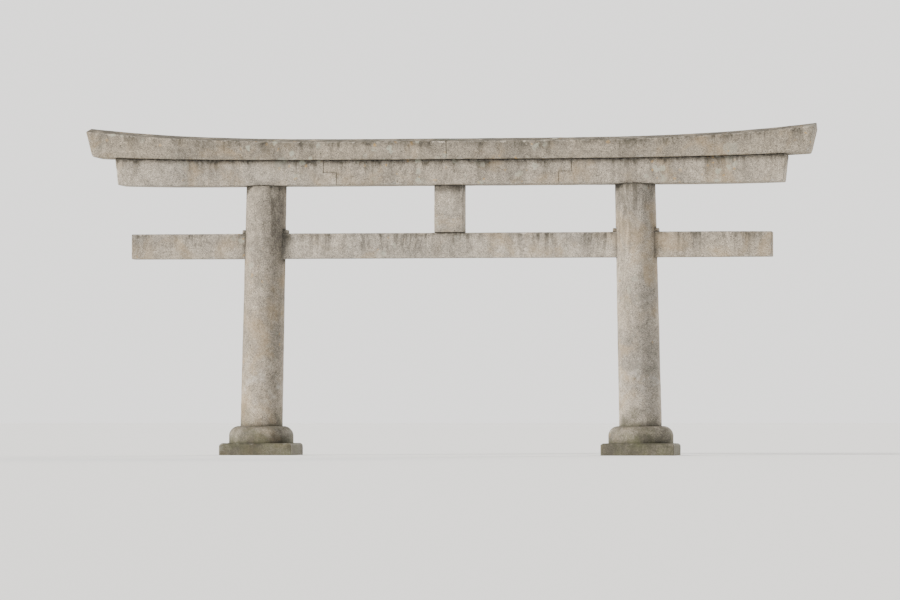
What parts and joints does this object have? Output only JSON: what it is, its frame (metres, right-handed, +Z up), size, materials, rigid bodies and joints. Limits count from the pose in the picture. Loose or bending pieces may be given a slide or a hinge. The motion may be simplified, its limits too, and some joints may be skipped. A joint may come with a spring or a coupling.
{
  "type": "torii gate",
  "caption": "Stone torii gate: two leaning round pillars on collared plinths, a wedged tie beam, a centre strut and two stacked lintels with swept-up ends.",
  "frame": {"origin": "on the ground, midway between the two pillars", "axes": "+X along the lintels to the right as seen from the front, +Y from front to back, +Z up"},
  "size_m": [9, 0.9, 4.0411],
  "materials": {
    "dressed_stone": "bush-hammered pale grey granite, weathered by sea spray",
    "base_stone": "rougher grey granite, darkened by damp",
    "wedge_stone": "split grey granite",
    "key_bronze": "green-brown patina"
  },
  "bodies": {
    "root": {"left_plinth": "base_stone", "right_plinth": "base_stone", "left_collar_front": "base_stone", "left_collar_back": "base_stone", "right_collar_front": "base_stone", "right_collar_back": "base_stone", "left_pillar": "dressed_stone", "right_pillar": "dressed_stone", "tie_beam_left": "dressed_stone", "tie_beam_middle": "dressed_stone", "tie_beam_right": "dressed_stone", "left_outer_wedge": "wedge_stone", "left_inner_wedge": "wedge_stone", "right_inner_wedge": "wedge_stone", "right_outer_wedge": "wedge_stone", "centre_strut": "dressed_stone", "second_lintel_left": "dressed_stone", "second_lintel_middle": "dressed_stone", "second_lintel_right": "dressed_stone", "top_lintel_left": "dressed_stone", "top_lintel_right": "dressed_stone", "front_lintel_key": "key_bronze", "back_lintel_key": "key_bronze"}
  },
  "joints": []
}
